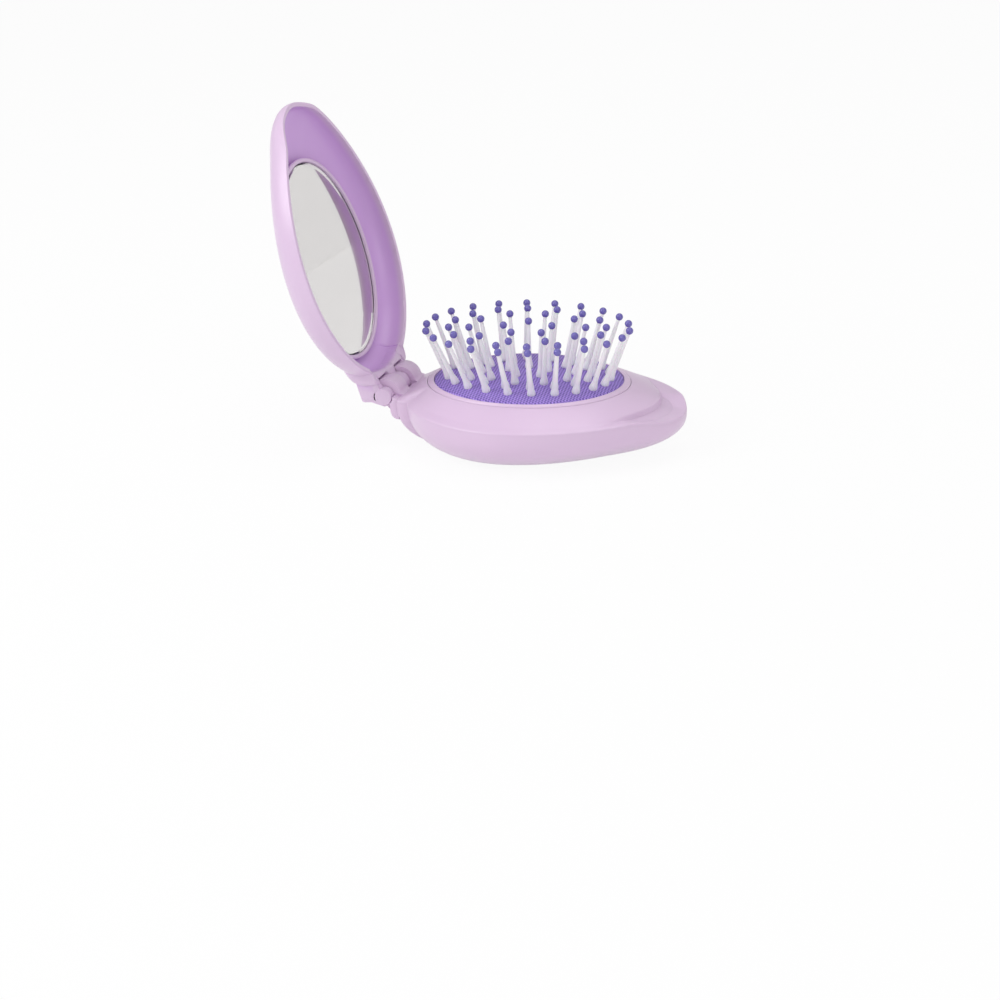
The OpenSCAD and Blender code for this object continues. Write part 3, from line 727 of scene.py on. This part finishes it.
# The shell's outer skin and its rim are rows 0 to 50, and its hollow, which takes painted shade, is in the
# rows after them
painted_shade_rows = smoothstep((np.arange(len(shell)) - 50) / 2)[:, None]
necks = lid_neck()
piece("lid_bowl", [lid_place(shell)], "lid", lid_lilac_painted_shade, replaces=("lid_shell",),
      inside=[painted_shade_rows * painted_shade_depth(shell[..., 2])])
# The neck's face towards the hollow takes the same painted shade
piece("lid_neck", [lid_place(g) for g in necks], "lid", lid_lilac_painted_shade,
      inside=[smoothstep((g[..., 0] - land_edge(g[..., 1]) + 0.6) / 0.4) * painted_shade_depth(g[..., 2])
              for g in necks])
piece("mirror_trim", [lid_place(frame_section())], "lid", lid_lilac_painted_shade, closed_rows=True, sharp=50,
      replaces=("mirror_frame",))
piece("mirror_pane", [lid_place(pane_section())], "lid", glass, sharp=8,
      replaces=("mirror_glass",))
piece("mirror_silver", [lid_place(silver_section())], "lid", silver, sharp=20,
      replaces=("mirror_coating",))
dress("mirror_foam", foam_white)
dress("hinge_pin", steel)
dress("pin_plate", carrier_violet)


# ---- lift spring --------------------------------------------------------------------------------
def spring_section():
    """A round wire carried up a conical helix from the floor of the case to the underside of the plate."""
    u = np.linspace(0, 1, 320)
    turn = 2 * math.pi * SPRING_TURNS * u
    r = mix(SPRING_LOW_R, SPRING_TOP_R, u)
    z = mix(-BASE_DEPTH + WALL + WIRE_R, PLATE_LOW - WIRE_R, u)
    a = np.linspace(0, 2 * math.pi, 12, endpoint=False)[None, :]
    reach = r[:, None] + WIRE_R * np.cos(a)
    return np.stack([PAD_X + reach * np.cos(turn)[:, None], reach * np.sin(turn)[:, None],
                     z[:, None] + WIRE_R * np.sin(a)], -1)


spring = piece("lift_coil", [case_place(spring_section())], "case", spring_wire,
               replaces=("lift_spring",))
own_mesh(spring)


# ---- floor, light and camera --------------------------------------------------------------------
def seen_by(tree, *rays):
    """1 for light paths of any of the named kinds, 0 for the others."""
    path = add(tree, "LightPath")
    out = path.outputs[rays[0]]
    for ray in rays[1:]:
        out = add(tree, "Math", links={0: out, 1: path.outputs[ray]}, operation="MAXIMUM").outputs[0]
    return out


def floor_material(white_share=0.93):
    """A white floor. To the camera, in gloss and through glass it is white but for the object's shadow."""
    m, tree, shader = new_material("studio_floor")
    feed(tree, shader, {"Base Color": (0.93, 0.93, 0.93, 1), "Roughness": 0.9, "Specular IOR Level": 0.1})
    glow = add(tree, "Emission", {"Color": (1, 1, 1, 1)})
    rays = seen_by(tree, "Is Camera Ray", "Is Glossy Ray", "Is Transmission Ray")
    share = add(tree, "Math", {1: white_share}, {0: rays}, operation="MULTIPLY")
    blend = add(tree, "MixShader", links={"Fac": share.outputs[0], 1: shader.outputs["BSDF"],
                                          2: glow.outputs["Emission"]})
    feed(tree, tree.nodes["Material Output"], links={"Surface": blend.outputs["Shader"]})
    return m


def make_floor(half=3.0):
    """A large plain square under the object."""
    mesh = bpy.data.meshes.new("studio_floor")
    corners = [(-half, -half, 0), (half, -half, 0), (half, half, 0), (-half, half, 0)]
    mesh.from_pydata(corners, [], [(0, 1, 2, 3)])
    obj = put("studio_floor", mesh)
    mesh.materials.append(floor_material())


def make_world(strength=0.5):
    """Even white light all round; full white where the camera sees it directly or through glass."""
    world = bpy.data.worlds.new("studio")
    bpy.context.scene.world = world
    world.use_nodes = True
    tree = world.node_tree
    level = add(tree, "MapRange", {"To Min": strength, "To Max": 1.0},
                {"Value": seen_by(tree, "Is Camera Ray", "Is Transmission Ray")})
    feed(tree, tree.nodes["Background"], {"Color": (1, 1, 1, 1)}, {"Strength": level.outputs["Result"]})


def stand(obj, right, up, back, place):
    """Sets an object's axes and its place in metres."""
    axes = np.stack([right, up, back], 1)
    obj.matrix_world = Matrix([(*row, p) for row, p in zip(axes, place)] + [(0, 0, 0, 1)])


def area_light(name, place, size, watts, aim=(0, 0, 0.03)):
    """A soft square lamp at place that faces aim, both in metres."""
    lamp = bpy.data.lights.new(name, "AREA")
    lamp.shape = "SQUARE"
    lamp.size = size
    lamp.energy = watts
    place, aim = np.array(place, float), np.array(aim, float)
    back = (place - aim) / np.linalg.norm(place - aim)
    side = np.cross([0, 0, 1.0], back)
    side /= np.linalg.norm(side)
    stand(put(name, lamp), side, np.cross(back, side), back, place)


def make_camera():
    """The photograph's viewpoint: it looks back along its azimuth and elevation at the target, rolled a
    little."""
    a, e, roll = (math.radians(v) for v in (VIEW_AZIMUTH, VIEW_ELEVATION, VIEW_ROLL))
    back = np.array([math.sin(a) * math.cos(e), -math.cos(a) * math.cos(e), math.sin(e)])
    right = np.array([math.cos(a), math.sin(a), 0.0])
    up = np.cross(back, right)
    lens = bpy.data.cameras.new("viewpoint")
    lens.lens, lens.sensor_width = LENS, SENSOR
    lens.clip_start, lens.clip_end = 0.05, 20.0
    obj = put("viewpoint", lens)
    rolled_right = right * math.cos(roll) + up * math.sin(roll)
    rolled_up = -right * math.sin(roll) + up * math.cos(roll)
    stand(obj, rolled_right, rolled_up, back, (VIEW_TARGET + VIEW_DISTANCE * back) * MM)
    bpy.context.scene.camera = obj


make_floor()
make_world()
area_light("key", (-0.55, -0.45, 0.6), 0.5, 3.3)
area_light("fill", (0.6, -0.6, 0.45), 0.6, 1.5)
area_light("top", (0.1, 0.05, 0.9), 0.5, 1.4)
make_camera()
bpy.context.scene.view_settings.view_transform = "Standard"
